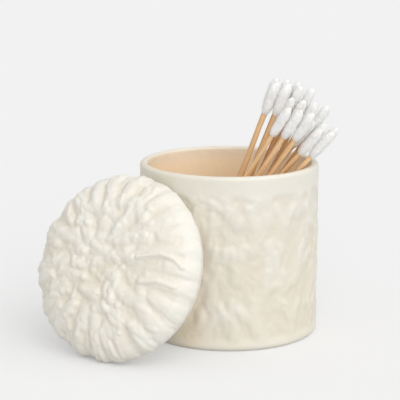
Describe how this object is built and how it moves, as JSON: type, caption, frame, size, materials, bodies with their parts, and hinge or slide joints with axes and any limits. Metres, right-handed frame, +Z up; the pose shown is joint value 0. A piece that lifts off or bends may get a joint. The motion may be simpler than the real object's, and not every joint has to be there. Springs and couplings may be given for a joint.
{
  "type": "bathroom canister",
  "caption": "Round glazed ceramic bathroom canister with a coral relief, its domed lid leaning against it and cotton swabs standing inside.",
  "frame": {"origin": "middle of the canister's flat foot, on the surface it stands on", "axes": "+Z up along the canister's axis; -Y is the front, where the picture was taken from; the lid leans on the canister's left front (-X, -Y)"},
  "size_m": [0.1646, 0.137, 0.1422],
  "materials": {
    "canister_glaze": "satin",
    "lid_glaze": "satin",
    "stick_wood": "matte",
    "cotton": "matte"
  },
  "bodies": {
    "root": {"canister": "canister_glaze", "lid": "lid_glaze", "swab_stick_01": "stick_wood", "swab_stick_02": "stick_wood", "swab_stick_03": "stick_wood", "swab_stick_04": "stick_wood", "swab_stick_05": "stick_wood", "swab_stick_06": "stick_wood", "swab_stick_07": "stick_wood", "swab_stick_08": "stick_wood", "swab_stick_09": "stick_wood", "swab_stick_10": "stick_wood", "swab_stick_11": "stick_wood", "swab_stick_12": "stick_wood", "swab_stick_13": "stick_wood", "swab_stick_14": "stick_wood", "swab_stick_15": "stick_wood", "swab_stick_16": "stick_wood", "swab_stick_17": "stick_wood", "swab_stick_18": "stick_wood", "swab_stick_19": "stick_wood", "swab_stick_20": "stick_wood", "swab_stick_21": "stick_wood", "swab_cotton_01": "cotton", "swab_cotton_02": "cotton", "swab_cotton_03": "cotton", "swab_cotton_04": "cotton", "swab_cotton_05": "cotton", "swab_cotton_06": "cotton", "swab_cotton_07": "cotton", "swab_cotton_08": "cotton", "swab_cotton_09": "cotton", "swab_cotton_10": "cotton", "swab_cotton_11": "cotton", "swab_cotton_12": "cotton", "swab_cotton_13": "cotton", "swab_cotton_14": "cotton", "swab_cotton_15": "cotton", "swab_cotton_16": "cotton", "swab_cotton_17": "cotton", "swab_cotton_18": "cotton", "swab_cotton_19": "cotton", "swab_cotton_20": "cotton", "swab_cotton_21": "cotton"}
  },
  "joints": []
}
